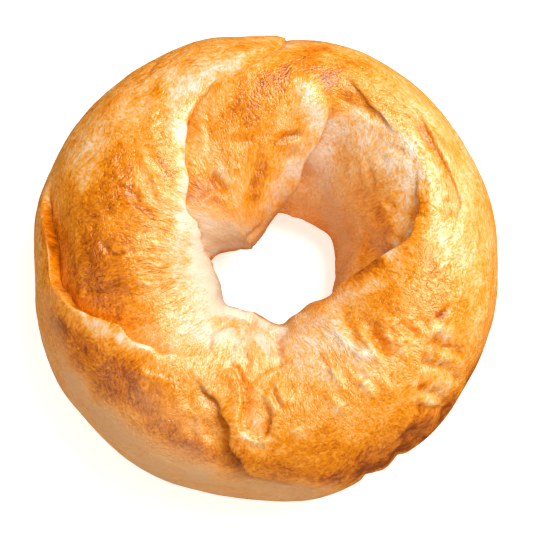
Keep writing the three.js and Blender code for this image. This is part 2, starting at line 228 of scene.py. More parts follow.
# Ridges and dents: theta and phi at each end, half width, and height (below zero for a dent).
STROKES = (
    # slanting ridges, and the pits between them, at the lower right
    (313, 126, 312, 110, 1.4, 0.45), (312, 110, 313, 99, 1.4, 0.55), (313, 99, 317, 89, 1.2, 0.7),
    (315, 118, 314, 108, 0.8, 0.4), (320, 110, 318, 99, 1.2, 0.7), (318, 99, 317, 91, 1.0, 1.0),
    (329, 101, 324, 92, 1.3, 0.6), (330, 95, 328, 85, 1.2, 0.8), (326, 89, 323, 79, 0.9, 0.7),
    (306, 94, 307, 87, 1.2, 1.0), (307, 87, 307, 79, 1.2, 1.0), (300, 110, 300, 101, 0.9, 0.5),
    (300, 101, 300, 90, 0.9, 0.6), (294, 89, 297, 77, 0.9, 0.6), (312, 79, 312, 72, 0.9, 0.4),
    (321, 124, 316, 109, 1.5, -0.7), (325, 114, 323, 104, 1.4, -0.8), (323, 104, 321, 95, 1.6, -1.1),
    (321, 95, 319, 90, 1.6, -1.0), (331, 92, 331, 83, 1.1, -0.9), (307, 95, 308, 90, 0.9, -0.9),
    (308, 90, 308, 83, 0.9, -0.8),
    # where the two creases of the flap meet
    (344, 69, 338, 73, 0.6, -0.5), (336, 83, 334, 75, 0.9, -0.6), (334, 75, 337, 60, 1.1, 0.9),
    # ribs outside the flap
    (332, 65, 333, 55, 1.0, -1.1), (333, 55, 333, 41, 1.2, -1.3), (325, 65, 328, 48, 0.9, -0.8),
    (328, 48, 328, 24, 1.0, -0.9), (318, 57, 321, 41, 0.9, -0.8), (321, 41, 322, 22, 1.0, -0.9),
    (315, 49, 321, 14, 1.3, -0.9), (310, 25, 312, 3, 1.4, -1.0), (305, 14, 306, -30, 1.1, -0.7),
    (301, 12, 301, -30, 2.0, 0.8), (296, 10, 296, -30, 1.2, -0.6), (328, 66, 331, 49, 1.6, 0.5),
    (322, 60, 325, 38, 1.8, 0.5), (317, 46, 320, 32, 1.6, 0.5),
    # furrows and ridges round the loop in front of the hole
    (255, 104, 260, 98, 1.2, 0.5), (252, 101, 255, 104, 1.2, 0.4), (272, 89, 272, 74, 0.7, -0.5),
    (266, 65, 270, 64, 0.7, -0.3), (264, 78, 265, 73, 0.9, 0.4), (266, 71, 270, 69, 1.0, 0.5),
    # bars and ridges beside the loop
    (272, 96, 274, 88, 0.9, 0.9), (276, 101, 278, 93, 1.1, 1.1), (274, 98, 276, 91, 0.7, -0.7),
    (256, 113, 262, 105, 0.8, 0.5), (262, 105, 268, 99, 0.7, 0.5), (259, 117, 266, 107, 0.7, 0.4),
    (275, 70, 280, 75, 1.0, 0.5), (280, 75, 287, 75, 1.0, 0.4),
    # lobes round the notch at the hole, and the furrows round them
    (243, 122, 245, 124, 4.2, 1.4), (264, 121, 268, 119, 3.4, 1.2), (290, 129, 302, 125, 4.5, 1.2),
    (257, 126, 256, 119, 0.7, 0.5), (258, 121, 262, 114, 0.8, -0.9), (240, 114, 236, 123, 0.8, -0.6),
    (236, 123, 239, 132, 0.8, -0.6), (239, 132, 250, 139, 0.8, -0.5), (267, 130, 273, 123, 0.8, -0.6),
    (273, 123, 273, 116, 0.8, -0.4), (281, 144, 279, 129, 1.2, -1.6), (279, 129, 278, 116, 1.0, -1.0),
    # strand along the hole's edge
    (233, 157, 257, 156, 1.1, 0.5), (257, 156, 284, 149, 1.1, 0.5), (236, 151, 257, 150, 0.9, -0.9),
    (257, 150, 280, 142, 0.9, -0.8),
    # ridge along the foot of the front, and dents to the left of the fold
    (267, 34, 275, 29, 0.7, 0.35), (275, 29, 285, 34, 0.7, 0.35), (247, 71, 249, 62, 1.1, -0.8),
    (243, 83, 244, 80, 0.9, -0.4), (252, 72, 254, 65, 1.6, -0.8), (238, 70, 241, 60, 1.6, 0.4),
    (236, 84, 242, 76, 1.8, 0.4),
    # left arm: crests, furrows and a twist of torn skin
    (141, 87, 146, 97, 1.1, 0.6), (146, 97, 151, 106, 1.1, 0.6), (148, 77, 157, 94, 1.4, -0.5),
    (157, 94, 162, 105, 1.3, -0.5), (146, 69, 154, 90, 1.2, 0.4), (119, 54, 136, 91, 1.4, 0.3),
    (151, 80, 154, 88, 0.7, 0.4), (177, 84, 182, 91, 0.8, -0.6), (184, 91, 182, 96, 0.7, 0.4),
    (194, 89, 195, 95, 0.7, 0.4), (195, 95, 193, 101, 0.7, 0.5), (193, 101, 196, 106, 0.7, 0.5),
    (160, 93, 165, 101, 1.2, 0.5), (172, 77, 181, 88, 0.8, -0.3), (192, 61, 193, 66, 0.6, 0.5),
    (193, 66, 195, 77, 0.6, 0.5), (192, 70, 193, 78, 0.9, -0.7), (218, 84, 226, 89, 0.8, 0.3),
    (223, 77, 231, 83, 0.9, 0.5),
    # tail: ridges, dimple, grooves and lumps
    (114, 91, 120, 103, 1.1, 0.6), (122, 116, 121, 123, 1.3, -1.6), (124, 115, 124, 120, 0.7, 0.4),
    (117, 115, 106, 120, 0.9, 0.5), (119, 108, 114, 107, 0.8, 0.4), (94, 117, 94, 124, 1.6, -0.7),
    (94, 127, 97, 133, 1.4, -1.2), (98, 135, 102, 140, 1.6, -0.8), (81, 118, 75, 119, 1.0, -1.0),
    (81, 121, 74, 122, 0.9, 0.5), (89, 113, 86, 107, 0.8, -0.5), (81, 129, 74, 128, 0.8, -0.4),
    (75, 95, 74, 102, 3.2, 0.8), (71, 136, 74, 149, 1.0, 0.3), (134, 122, 122, 124, 1.0, 0.5),
    (116, 122, 131, 139, 2.4, 0.5), (85, 131, 90, 147, 2.6, 0.5), (96, 163, 119, 162, 1.2, -0.7),
    (139, 125, 149, 140, 2.2, 0.4), (105, 108, 92, 113, 1.2, -0.5),
    # hollow on the inside of the upper right
    (40, 113, 39, 114, 0.9, -0.7), (26, 120, 25, 120, 1.0, 0.5), (25, 127, 24, 126, 1.2, 0.7),
    (46, 122, 38, 129, 0.9, 0.25), (41, 121, 34, 128, 0.9, -0.35), (38, 121, 33, 125, 0.8, 0.15),
    (49, 127, 44, 131, 1.0, 0.2), (56, 124, 47, 133, 1.2, -0.15), (36, 80, 29, 75, 2.0, -0.6),
    (38, 85, 31, 80, 1.2, 0.5), (49, 108, 46, 108, 1.0, -0.3), (41, 107, 37, 102, 0.8, -0.5),
    (54, 103, 50, 105, 1.6, 0.4), (66, 93, 61, 99, 1.6, -0.4), (62, 95, 54, 98, 1.8, -0.5),
    # pits in the crown of the right arm, and furrows on the outside
    (16, 76, 12, 76, 0.9, -0.6), (15, 83, 14, 81, 0.7, -0.4), (136, 24, 141, 30, 0.7, -0.5),
    (117, 26, 121, 37, 0.9, -0.5), (46, 30, 40, 40, 0.7, -0.3),
)

# How far the crust is baked, from 0, raw dough, to 1, dark brown: the whole crown, then places that add
# to it or take from it: theta and phi at each end, half width, change. Some places paint light or shade
# into the colour, as marked below.
BAKE_PLAIN = 0.46
BAKE_AND_PAINTED_LIGHT_PLACES = (
    # left arm: dark over the outside of the crown, cream towards the hole and the seam
    (186, 86, 192, 89, 2.2, 0.09), (162, 50, 190, 55, 5.0, 0.24), (166, 77, 196, 76, 4.6, 0.18),
    (184, 76, 192, 82, 2.4, 0.14), (183, 63, 191, 64, 1.7, 0.12), (164, 42, 181, 47, 2.6, 0.1),
    (165, 92, 206, 89, 3.9, 0.03), (143, 78, 162, 103, 2.0, 0.14), (133, 43, 156, 89, 2.4, 0.08),
    (154, 87, 164, 103, 1.2, 0.14), (118, 66, 124, 92, 2.2, -0.3), (124, 92, 137, 107, 2.2, -0.3),
    (137, 107, 154, 119, 3.0, -0.3), (155, 121, 216, 138, 4.4, -0.28), (165, 150, 225, 160, 6.0, -0.32),
    (160, 166, 225, 172, 5.0, -0.3), (203, 122, 232, 121, 4.3, -0.28), (214, 97, 225, 103, 2.6, -0.16),
    (172, 113, 205, 110, 3.6, -0.14), (112, 72, 96, 62, 2.4, -0.24), (116, 54, 113, 73, 2.2, -0.22),
    (126, 62, 136, 91, 2.2, -0.1), (150, 45, 158, 57, 2.6, -0.08), (155, 78, 184, 93, 5.5, 0.15),
    (142, 81, 155, 69, 3.5, 0.1), (122, 60, 138, 92, 1.8, 0.16), (178, 74, 178, 109, 3.2, 0.08),
    (198, 89, 211, 124, 4.0, 0.09), (200, 48, 221, 75, 2.6, 0.22), (221, 77, 242, 89, 3.0, 0.12),
    (220, 50, 232, 71, 3.2, 0.09), (234, 91, 242, 79, 2.0, 0.1), (150, 137, 213, 156, 1.8, -0.3),
    (168, 113, 205, 120, 3.4, 0.14), (219, 160, 237, 144, 2.0, -0.16), (117, 81, 134, 113, 0.9, -0.25),
    (165, 29, 182, 41, 1.5, 0.18), (119, 61, 141, 104, 3.0, 0.05), (130, 114, 142, 133, 2.2, 0.2),
    (139, 104, 150, 112, 2.2, 0.12), (159, 57, 134, 53, 3.4, -0.13), (134, 53, 117, 52, 2.6, -0.05),
    (164, 77, 169, 86, 1.6, -0.14), (127, 67, 127, 86, 2.2, -0.14), (150, 64, 168, 66, 2.0, -0.07),
    (155, 97, 145, 94, 1.6, -0.1), (159, 98, 165, 112, 1.4, 0.12), (135, 91, 141, 104, 2.4, 0.15),
    (138, 119, 144, 134, 1.8, 0.14), (184, 132, 205, 133, 1.8, 0.1), (134, 136, 105, 142, 1.8, 0.12),
    (143, 131, 167, 168, 1.2, -0.14), (188, 93, 190, 109, 1.6, 0.09), (164, 44, 183, 47, 2.4, -0.14),
    (144, 58, 148, 68, 2.4, -0.14), (147, 130, 184, 143, 2.0, -0.14), (184, 146, 218, 156, 2.0, -0.14),
    (178, 68, 178, 69, 0.35, 0.5), (153, 100, 157, 100, 1.2, -0.16), (134, 82, 136, 88, 1.4, -0.12),
    (167, 110, 171, 114, 1.4, 0.1), (164, 75, 169, 83, 2.0, -0.1), (137, 121, 120, 145, 2.4, 0.1),
    (169, 130, 209, 131, 2.4, 0.09), (113, 48, 129, 96, 2.2, 0.08),
    # top and tail
    (116, 121, 117, 132, 3.0, -0.12), (134, 136, 130, 154, 3.0, -0.08),
    (138, 125, 153, 145, 2.0, -0.06), (101, 90, 95, 91, 2.4, -0.1), (79, 119, 75, 118, 1.8, 0.1),
    (77, 130, 62, 153, 2.0, -0.1), (78, 153, 64, 169, 1.2, 0.12), (83, 56, 80, 70, 2.0, -0.12),
    (115, 91, 115, 94, 1.4, -0.1), (100, 95, 99, 98, 1.2, -0.1), (108, 68, 103, 84, 2.0, -0.12),
    (98, 56, 93, 54, 1.6, -0.1), (78, 86, 82, 84, 1.6, 0.1), (93, 96, 92, 91, 1.6, 0.1),
    (76, 119, 76, 120, 0.9, 0.2), (64, 164, 76, 147, 1.2, -0.14), (85, 32, 80, 58, 1.8, -0.14),
    (119, 114, 108, 128, 2.0, -0.14), (78, 117, 51, 144, 2.0, -0.16), (89, 149, 83, 171, 1.5, -0.16),
    (159, 166, 138, 177, 1.8, -0.16), (69, 83, 69, 84, 2.0, 0.28), (75, 57, 75, 58, 1.6, 0.14),
    (80, 62, 80, 63, 1.4, -0.18), (84, 44, 84, 45, 1.4, -0.2), (105, 76, 105, 77, 1.4, -0.14),
    (105, 79, 105, 80, 0.9, 0.2), (80, 64, 71, 77, 3.0, 0.26), (69, 78, 69, 80, 2.0, 0.15),
    (95, 91, 81, 84, 4.0, 0.26), (97, 97, 91, 105, 3.0, 0.1), (106, 95, 108, 102, 2.4, 0.15),
    (131, 117, 123, 126, 2.6, 0.24), (116, 121, 106, 136, 2.4, 0.12), (90, 124, 91, 133, 1.5, 0.1),
    # the second place here is paler to paint light into the shade beside the tail's edge
    (84, 118, 76, 120, 1.5, 0.18), (75, 133, 80, 144, 2.0, -0.26), (161, 169, 136, 177, 1.8, -0.4),
    (80, 59, 74, 47, 2.4, 0.24), (84, 73, 80, 66, 1.8, 0.1), (70, 56, 64, 55, 1.9, 0.1),
    (97, 83, 84, 78, 2.6, 0.06), (104, 84, 99, 100, 2.6, 0.06), (100, 95, 94, 105, 1.5, 0.12),
    (102, 108, 92, 114, 1.4, 0.12), (93, 129, 97, 140, 1.3, 0.16), (89, 127, 89, 131, 1.2, 0.1),
    (76, 94, 69, 115, 2.2, -0.28), (79, 88, 76, 91, 1.6, -0.14), (119, 86, 122, 97, 0.7, 0.14),
    (139, 122, 147, 163, 3.4, -0.12), (120, 142, 98, 170, 2.6, -0.08), (120, 103, 121, 113, 1.4, -0.08),
    # hollow on the inside of the upper right: its tan and brown, and paler places that paint light into
    # the hollow's shade
    (13, 143, 352, 120, 3.0, 0.16), (31, 98, 17, 112, 1.0, 0.16), (17, 112, 10, 117, 1.0, 0.14),
    (38, 135, 3, 145, 2.2, 0.1), (11, 127, 358, 110, 1.2, -0.2), (48, 118, 25, 111, 4.0, -0.05),
    (66, 103, 57, 110, 3.0, 0.05), (13, 139, 352, 118, 1.4, 0.2), (15, 123, 4, 122, 2.4, -0.34),
    (27, 127, 20, 123, 2.0, -0.12), (35, 114, 20, 123, 2.4, -0.13), (33, 101, 18, 110, 2.0, -0.14),
    (12, 128, 358, 112, 1.4, -0.2), (6, 134, 351, 105, 1.8, -0.1), (47, 101, 42, 101, 1.8, -0.12),
    (64, 111, 60, 126, 2.2, -0.18), (61, 129, 71, 135, 2.5, -0.2), (54, 106, 41, 101, 3.0, -0.12),
    (38, 117, 26, 104, 4.0, -0.12), (21, 127, 347, 128, 3.0, 0.36), (15, 117, 3, 104, 1.5, -0.26),
    (34, 130, 24, 122, 3.4, 0.12), (15, 134, 11, 126, 2.2, 0.12), (26, 118, 12, 119, 1.6, 0.12),
    (60, 133, 45, 148, 4.0, -0.16), (59, 115, 52, 122, 3.2, -0.1), (35, 147, 16, 157, 1.9, 0.1),
    (70, 75, 110, 62, 7.0, -0.05), (60, 101, 52, 102, 2.0, -0.18), (51, 89, 43, 93, 2.0, -0.14),
    # right arm: its valley, the pale crown, and the lip
    (341, 78, 338, 71, 2.0, 0.14), (46, 78, 32, 66, 1.8, 0.1), (358, 88, 356, 84, 1.4, 0.1),
    (29, 20, 2, 37, 3.5, -0.08), (358, 66, 348, 58, 2.6, -0.06), (52, 55, 41, 58, 3.0, -0.08),
    (31, 71, 27, 77, 1.5, -0.2), (56, 82, 43, 86, 1.4, 0.2), (36, 61, 31, 64, 1.2, 0.15),
    (343, 106, 328, 94, 1.6, 0.18), (344, 69, 338, 73, 0.9, 0.34), (342, 78, 339, 75, 2.0, 0.08),
    (334, 73, 336, 60, 1.8, -0.15), (4, 95, 358, 84, 2.5, 0.12), (338, 112, 350, 102, 3.0, 0.08),
    (61, 114, 39, 106, 4.0, -0.14), (35, 72, 353, 60, 4.5, -0.08), (313, 126, 313, 90, 4.0, -0.08),
    (68, 88, 62, 93, 1.9, 0.12), (62, 93, 53, 96, 1.5, 0.1), (69, 59, 62, 71, 2.4, 0.08),
    (55, 94, 49, 98, 1.2, 0.1), (50, 87, 38, 92, 2.6, -0.14), (35, 94, 29, 97, 2.8, -0.16),
    (24, 90, 3, 79, 3.8, -0.12), (3, 79, 357, 73, 3.2, -0.14), (38, 74, 29, 73, 1.6, 0.14),
    (23, 100, 14, 96, 1.2, 0.26), (9, 98, 359, 109, 1.4, 0.12), (51, 59, 36, 59, 2.8, -0.1),
    (35, 28, 20, 45, 3.2, -0.08), (16, 87, 13, 81, 0.7, 0.1),
    # lower right: pits between the ridges
    (316, 124, 314, 114, 1.6, -0.08), (323, 107, 320, 99, 1.4, -0.1), (311, 103, 321, 85, 1.8, -0.1),
    (298, 81, 297, 78, 1.0, 0.12), (331, 140, 344, 119, 2.2, -0.26), (308, 142, 306, 111, 2.2, -0.06),
    (287, 128, 289, 115, 1.8, -0.12), (294, 108, 296, 93, 2.2, -0.14), (276, 119, 283, 112, 1.4, -0.1),
    (312, 91, 314, 82, 1.4, 0.1), (326, 77, 326, 73, 1.0, 0.12), (296, 85, 298, 81, 1.2, 0.12),
    (312, 102, 312, 103, 1.8, -0.12), (282, 119, 282, 120, 1.6, -0.14), (296, 79, 296, 80, 1.8, -0.14),
    (312, 113, 315, 97, 2.6, -0.2), (314, 133, 330, 134, 2.4, -0.14), (306, 87, 305, 84, 1.4, -0.16),
    (291, 120, 299, 102, 2.5, -0.09), (279, 136, 279, 129, 2.2, -0.15), (285, 101, 291, 90, 2.5, 0.17),
    (350, 121, 336, 139, 1.6, 0.12), (330, 144, 314, 153, 1.4, 0.08), (329, 132, 339, 101, 3.4, 0.05),
    (327, 111, 322, 98, 1.8, 0.12), (323, 97, 321, 89, 1.3, 0.12), (321, 115, 316, 101, 1.3, 0.1),
    (353, 88, 350, 56, 3.2, 0.05), (342, 89, 333, 79, 1.5, 0.06), (300, 91, 310, 57, 3.6, 0.05),
    (304, 104, 311, 86, 2.0, -0.12), (284, 100, 290, 89, 2.3, -0.1), (324, 87, 323, 74, 2.0, 0.08),
    # outside of the flap
    (308, 42, 311, 5, 2.6, 0.16), (323, 59, 323, 44, 2.4, -0.12), (309, 10, 300, 8, 3.0, 0.22),
    (300, 8, 292, 6, 3.0, 0.22), (331, 64, 321, 53, 0.6, 0.2), (321, 53, 312, 33, 0.6, 0.2),
    (312, 33, 305, 19, 0.6, 0.2), (331, 58, 332, 37, 1.2, -0.1), (325, 58, 327, 24, 1.2, -0.1),
    (319, 48, 321, 15, 1.2, -0.1), (295, 20, 293, 11, 1.2, 0.15), (313, -1, 311, -4, 1.8, 0.35),
    (304, 26, 313, 24, 2.2, 0.2), (311, 54, 318, 28, 2.0, 0.14), (295, 20, 302, 18, 2.0, 0.12),
    (305, 13, 295, 21, 3.0, 0.3), (316, 17, 322, 13, 2.6, 0.2), (331, 9, 339, -1, 2.4, 0.42),
    (335, 65, 335, 60, 1.4, -0.1), (327, 64, 330, 49, 1.6, -0.1), (303, 12, 307, 15, 2.0, 0.22),
    (313, 0, 320, 12, 2.0, 0.2), (295, 18, 290, 15, 2.0, 0.14), (324, 17, 315, 13, 3.2, 0.22),
    (314, 28, 308, 33, 3.0, 0.3), (301, 36, 295, 33, 3.0, 0.26), (326, 44, 332, 39, 2.0, 0.08),
    (320, 52, 332, 61, 1.5, 0.06), (294, 35, 286, 30, 2.0, 0.16),
    # lobes at the hole, and the strand and pale fold between them
    (234, 122, 254, 116, 4.0, -0.16), (249, 130, 268, 134, 4.0, -0.22),
    (271, 131, 274, 119, 2.0, -0.26), (303, 154, 299, 125, 3.6, -0.18), (228, 152, 284, 150, 3.0, -0.3),
    (286, 155, 278, 144, 1.0, -0.1), (306, 159, 324, 147, 0.8, 0.1),
    # front
    (285, 107, 288, 101, 3.0, -0.1), (268, 71, 270, 65, 1.2, -0.08), (267, 34, 275, 29, 0.5, -0.2),
    (275, 29, 285, 34, 0.5, -0.2), (275, 96, 276, 92, 0.9, -0.16), (269, 69, 270, 71, 0.9, -0.1),
    (270, 101, 270, 100, 0.9, 0.18), (242, 90, 247, 93, 1.4, -0.14), (280, 56, 288, 50, 2.0, 0.08),
    (281, 71, 281, 72, 1.6, -0.12), (268, 66, 268, 67, 1.2, -0.08), (280, 65, 297, 49, 2.5, 0.14),
    (263, 70, 263, 71, 1.2, 0.12), (268, 93, 269, 86, 1.6, 0.2), (246, 118, 253, 103, 2.0, 0.1),
    (257, 90, 262, 68, 1.6, 0.12), (269, 96, 269, 78, 1.5, -0.14), (255, 82, 258, 75, 0.9, 0.16),
    (259, 62, 264, 50, 1.0, 0.2), (262, 97, 263, 77, 1.0, 0.06), (247, 92, 252, 88, 0.8, 0.08),
    # the first place here, a paler line on the rim of the loop, is a painted highlight
    (264, 72, 269, 68, 1.0, -0.22), (266, 95, 268, 72, 2.4, -0.12), (243, 81, 251, 59, 2.6, -0.06),
    (278, 95, 290, 69, 4.2, 0.04), (264, 58, 286, 38, 2.6, 0.2), (286, 38, 297, 38, 2.4, 0.1),
    (283, 66, 292, 53, 1.8, 0.15),
    # lower left: a dark band inside the pale skin
    (221, 66, 227, 67, 2.6, 0.11), (228, 67, 232, 68, 2.2, 0.1), (200, 48, 206, 65, 1.4, 0.08),
    (204, 90, 210, 92, 2.0, 0.07), (213, 78, 228, 68, 1.8, 0.1), (237, 54, 247, 52, 2.0, 0.1),
    (242, 56, 263, 44, 2.6, 0.16), (198, 48, 206, 65, 1.6, 0.14), (194, 64, 199, 74, 1.4, -0.08),
    (221, 74, 221, 84, 1.4, -0.1), (199, 41, 206, 44, 3.0, 0.18), (212, 49, 221, 56, 3.4, 0.3),
    (228, 61, 237, 65, 3.6, 0.24), (244, 62, 250, 57, 2.8, 0.18), (262, 45, 295, 35, 6.0, 0.1),
    (200, 30, 245, 35, 8.0, 0.08), (217, 64, 238, 79, 2.0, 0.05), (224, 85, 249, 102, 2.6, -0.08),
    (215, 6, 234, 34, 3.0, -0.05), (235, 24, 254, 28, 3.0, -0.08),
    # edge of the lap: the paler lines along it are painted light where the edge faces the key light
    (182, 42, 192, 53, 0.8, -0.2), (193, 54, 200, 64, 0.8, -0.28), (201, 65, 211, 81, 0.9, -0.28),
    (211, 81, 221, 88, 0.9, -0.26), (221, 88, 228, 96, 0.9, -0.22), (204, 87, 211, 79, 1.0, 0.16),
    (214, 75, 216, 71, 1.0, 0.12),
)

# Pale skin low on the sides, where the dough has spread and split: the same columns, with its share.
SKIN_PLACES = (
    (192, 40, 213, 34, 3.0, 0.45), (213, 32, 227, 33, 4.2, 0.6), (227, 34, 252, 40, 4.2, 0.7),
    (253, 32, 282, 24, 3.2, 0.6), (232, 68, 249, 68, 3.2, 0.3), (61, 140, 36, 154, 6.0, 0.85),
    (54, 123, 32, 135, 4.0, 0.2), (24, 145, 10, 133, 3.2, 0.35), (11, 166, 350, 165, 4.0, 0.5),
    (141, 123, 156, 159, 3.6, 0.6), (129, 144, 101, 169, 2.8, 0.5), (74, 120, 76, 132, 2.0, 0.3),
    (84, 144, 74, 151, 1.6, 0.5), (200, 5, 240, 10, 8, 0.6), (245, 5, 276, 5, 8, 0.6),
    (75, 178, 130, 176, 7, 0.5), (59, 161, 37, 159, 2.6, 0.35), (30, 164, 13, 156, 3.0, 0.25),
)

# How glossy the crust is, from 0 to 1.
GLOSS_PLAIN = 0.6
GLOSS_PLACES = (
    (50, 87, 38, 92, 3.4, 0.35), (35, 94, 17, 85, 4.8, 0.35), (17, 85, 357, 73, 4.8, 0.35),
    (25, 65, 350, 60, 4.5, 0.25), (351, 107, 345, 72, 4.2, 0.2), (120, 63, 150, 115, 3.8, 0.3),
    (162, 112, 211, 127, 5.6, 0.25), (220, 130, 269, 122, 4.2, 0.3), (303, 154, 303, 128, 3.8, 0.3),
    (79, 92, 69, 111, 2.8, 0.3), (103, 69, 77, 105, 5.0, 0.15), (304, 115, 314, 68, 5.6, 0.2),
    (190, 51, 228, 96, 1.1, 0.25), (150, 40, 161, 82, 4.2, 0.15), (51, 59, 36, 59, 2.6, 0.2),
    (59, 135, 27, 135, 7.0, -0.35), (213, 36, 252, 52, 6.0, -0.3), (252, 42, 286, 28, 4.0, -0.3),
    (139, 125, 141, 166, 3.8, -0.2), (34, 130, 11, 126, 3.2, -0.15), (344, 69, 338, 73, 1.6, -0.3),
    (320, 19, 300, 38, 3.0, -0.25), (215, 5, 290, 5, 9.0, -0.3),
)

# Where the wrinkles lie: along the ring, across it, and every way as on crepe. The same columns.
ALONG_PLACES = (
    (123, 46, 115, 33, 5.0, 0.8), (141, 58, 160, 88, 4.5, 0.6), (150, 40, 166, 78, 4.5, 0.5),
    (120, 64, 143, 109, 2.8, 0.6), (68, 53, 51, 59, 4.5, 0.8), (50, 65, 24, 66, 3.5, 0.6),
    (108, 58, 94, 48, 3.0, 0.8), (209, 60, 243, 81, 4.0, 0.3), (100, 15, 180, 15, 12, 0.6),
)
ACROSS_PLACES = (
    (160, 110, 223, 122, 5.0, 0.9), (171, 96, 210, 99, 3.5, 0.4), (313, 126, 321, 90, 5.5, 0.7),
    (300, 95, 303, 112, 4.0, 0.6), (108, 111, 95, 142, 5.0, 0.5), (251, 132, 300, 130, 4.0, 0.3),
    (78, 101, 70, 125, 2.4, 0.3), (346, 62, 339, 26, 3.5, 0.3), (230, 73, 247, 63, 3.5, 0.5),
    (270, 127, 285, 103, 3.5, 0.5),
)
CREPE_PLACES = (
    (41, 99, 21, 92, 4.5, 0.9), (17, 85, 354, 75, 5.0, 0.9), (351, 107, 345, 72, 5.0, 0.7),
    (170, 69, 202, 87, 5.5, 0.7), (104, 84, 84, 113, 5.0, 0.3), (86, 67, 73, 81, 3.0, 0.5),
    (283, 92, 302, 53, 5.5, 0.5), (239, 103, 259, 101, 3.5, 0.4), (350, 140, 341, 115, 2.5, 0.4),
    (330, 20, 30, 20, 10, 0.4),
)

# Small relief of the dough, in rows of length round the ring, width over it and height. LUMPS lie
# everywhere. WRINKLES start with the way in which they lie, and where they end in a level, they are
# creased there.
LUMPS = ((17, 15, 0.45), (8, 7, 0.22))
WRINKLES = (
    ("along", 9, 3.2, 0.5, 0.4), ("along", 4, 1.3, 0.24, None),
    ("across", 3.2, 7, 0.5, 0.4), ("across", 1.3, 3, 0.18, None),
    ("crepe", 5, 4, 0.45, 0.45), ("crepe", 2.4, 2.0, 0.12, None),
    ("everywhere", 1.4, 1.3, 0.07, None),
)
# Wrinkles are stronger in some patches: their mean strength, how much it changes, and the patches' size.
WRINKLE_STRENGTH = (0.65, 0.5)
WRINKLE_PATCH = (9, 8)
# Size of broad and of small swirls, and the degrees by which each carries theta and phi about.
BROAD_SWIRL = (16, 12)
SMALL_SWIRL = (5, 5)
THETA_SWIRL = (2.2, 0.8)
PHI_SWIRL = (5.0, 2.0)
# Size of the wobble that frays every edge, and how far it moves folds and strokes, and patches of colour.
WOBBLE_SIZE = (4.5, 4)
FOLD_WOBBLE = 0.45
PATCH_WOBBLE = 1.2
# Clouds in the bake: length round the ring, width over it, and change.
BAKE_CLOUDS = ((7, 5, 0.10), (3, 2.4, 0.06))
# How much a wrinkle and a stroke of one millimetre count as hollow, where the crust's colour is darkened
# as painted shade.
HOLLOW_SHADE_SHARES = (1.6, 0.25)

# Patterns in the crust, in millimetres round the ring and over it, and their heights as shares of the
# relief. A streak lies along or across the ring, and a crease on crepe.
MOTTLE_SIZE = (2.6, 2.2)
MOTTLE_DEPTH = 0.22
PEBBLE_SIZE = (0.85, 0.75)
PEBBLE_HEIGHT = 0.35
BLISTER_SIZE = (0.38, 0.38)
BLISTER_HEIGHT = 0.35
STREAK_SIZE = (4.0, 1.5)
STREAK_HEIGHT = 0.22
CREASE_SIZE = (2.4, 2.0)
CREASE_HEIGHT = 0.18
CREASE_WIDTH = 0.05
RELIEF_HEIGHT = 0.0005
# How much grain, relief, hollows and the shade under a lip change the bake, and where on the bake's scale
# each of the five colours of the crust lies. The darkening in the creases of the relief, in the hollows
# and under a lip is painted shade.
GRAIN_DEPTH = 1.05
WRINKLE_SHADE_DEPTH = 0.5
HOLLOW_SHADE_DEPTH = 0.18
SHADE_DEPTH = 0.16
BAKE_STOPS = (0.06, 0.34, 0.56, 0.8, 1.0)
SKIN_COVER = 0.85
# The finish: roughness where it is dullest, what full gloss takes from it and mottling adds, how strongly
# the crust mirrors, the tint of its glints, and how far light goes into it.
DULL_ROUGHNESS = 0.42
GLOSS_DEPTH = 0.32
MOTTLE_ROUGHNESS = 0.15
CRUST_IOR = 1.46
GLINT_COLOUR = (1.0, 0.86, 0.64)
SOFTNESS = 0.08
SOFT_COLOUR = (1.0, 0.45, 0.2)
SOFT_DEPTH = 0.002

# Radii, in metres, of the torus that the dough is shaped from.
TORUS_RADII = (0.036, 0.018)

# The stage, in metres. The key light stands at the upper right, the fill light in front at the left, and
# the side light low at the right.
AIM_HEIGHT = 0.015
NEAREST_SEEN = 0.01
FLOOR_ROUGHNESS = 0.9
FLOOR_SIZE = 6.0
FLOOR_GAP = 0.0002
KEY_PLACE = (0.28, 0.20, 0.53)
KEY_SIZE = 0.40
FILL_PLACE = (-0.28, -0.34, 0.34)
FILL_SIZE = 0.36
SIDE_PLACE = (0.44, 0.26, 0.14)
SIDE_SIZE = 0.30
SENSOR_WIDTH = 36.0
CAMERA_SHIFT = (0.001, 0.0)


def unit(vectors):
    """The same vectors, made one long."""
    return vectors / (np.linalg.norm(vectors, axis=-1, keepdims=True) + 1e-9)


def catmull_rom(a, b, c, d, f):
    """Smooth value at a share f of the way from b to c, with a before them and d after."""
    return b + 0.5 * f * (c - a + f * (2 * a - 5 * b + 4 * c - d + f * (3 * b - a - 3 * c + d)))


def round_the_ring(keys, theta):
    """Smooth value at theta of keys spaced evenly round the ring."""
    keys = np.asarray(keys, float)
    place = np.mod(theta, FULL_TURN) / FULL_TURN * len(keys)
    index = np.floor(place).astype(int)
    near = [keys[(index + step) % len(keys)] for step in (-1, 0, 1, 2)]
    return catmull_rom(*near, place - index)


